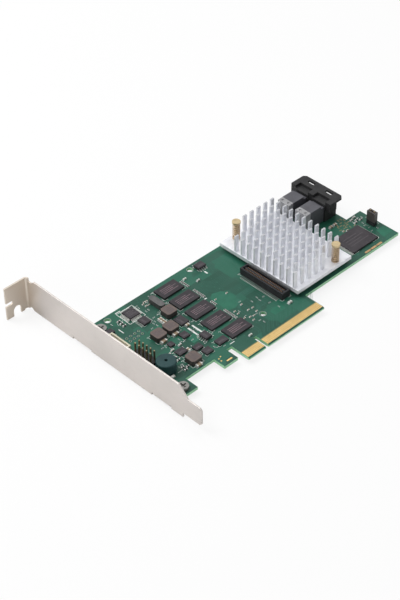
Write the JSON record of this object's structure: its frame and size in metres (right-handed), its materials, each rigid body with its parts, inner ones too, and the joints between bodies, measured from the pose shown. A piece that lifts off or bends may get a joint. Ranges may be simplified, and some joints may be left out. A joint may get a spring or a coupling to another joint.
{
  "type": "raid controller card",
  "caption": "Half-length storage controller card on a full-height bracket, with a pin-fin heat sink, a gold card edge and internal drive ports on its upper rear edge.",
  "frame": {"origin": "middle of the key notch, on the edge of the gold contacts, on the face that carries the components", "axes": "+X along the card from the bracket to the rear edge, +Y from the gold contacts to the top edge, +Z out of the component face"},
  "size_m": [0.1806, 0.1199, 0.0195],
  "materials": {
    "board": "green solder mask, satin",
    "gold": "gold plated, smooth",
    "bracket": "nickel plated sheet, fine grain",
    "screw": "nickel plated",
    "epoxy": "moulded epoxy, matt",
    "pad": "soft, matt",
    "sink": "clear anodised, fine matt",
    "brass": "turned",
    "spring": "drawn wire",
    "black_plastic": "moulded, satin",
    "grey_plastic": "moulded, satin",
    "pale_plastic": "moulded, satin",
    "tin": "tin plated",
    "ferrite": "pressed powder, matt",
    "can": "drawn can, satin",
    "cream_plastic": "moulded, satin",
    "buzzer": "moulded, satin",
    "tan_ceramic": "fired, matt",
    "white_ceramic": "fired, matt",
    "resistor": "fired, dark top",
    "lamp": "clear resin"
  },
  "bodies": {
    "root": {"pcb": "board", "gold_fingers": "gold", "bracket": "bracket", "bracket_screws": "screw", "controller": "epoxy", "thermal_pad": "pad", "heatsink": "sink", "sink_push_pins": "brass", "sink_springs": "spring", "module_socket": "black_plastic", "module_socket_contacts": "gold", "sas_housing": "black_plastic", "sas_contacts": "gold", "sas_wafers": "grey_plastic", "sas_rear_clips": "pale_plastic", "dram_chips": "epoxy", "power_chips": "epoxy", "power_diode": "epoxy", "qfp_chip": "epoxy", "qfp_leads": "tin", "tssop_chip": "epoxy", "tssop_leads": "tin", "flash_chip": "epoxy", "flash_leads": "tin", "so8_chips": "epoxy", "so8_leads": "tin", "oscillator": "can", "power_inductors": "ferrite", "front_header": "black_plastic", "front_header_pins": "gold", "rear_header": "black_plastic", "rear_header_pins": "gold", "jumper": "black_plastic", "battery_socket": "cream_plastic", "battery_socket_pins": "tin", "buzzer": "buzzer", "bulk_capacitors": "tan_ceramic", "pale_capacitors": "white_ceramic", "small_capacitors": "tan_ceramic", "resistors": "resistor", "status_led": "lamp", "back_capacitors": "tan_ceramic"}
  },
  "joints": []
}
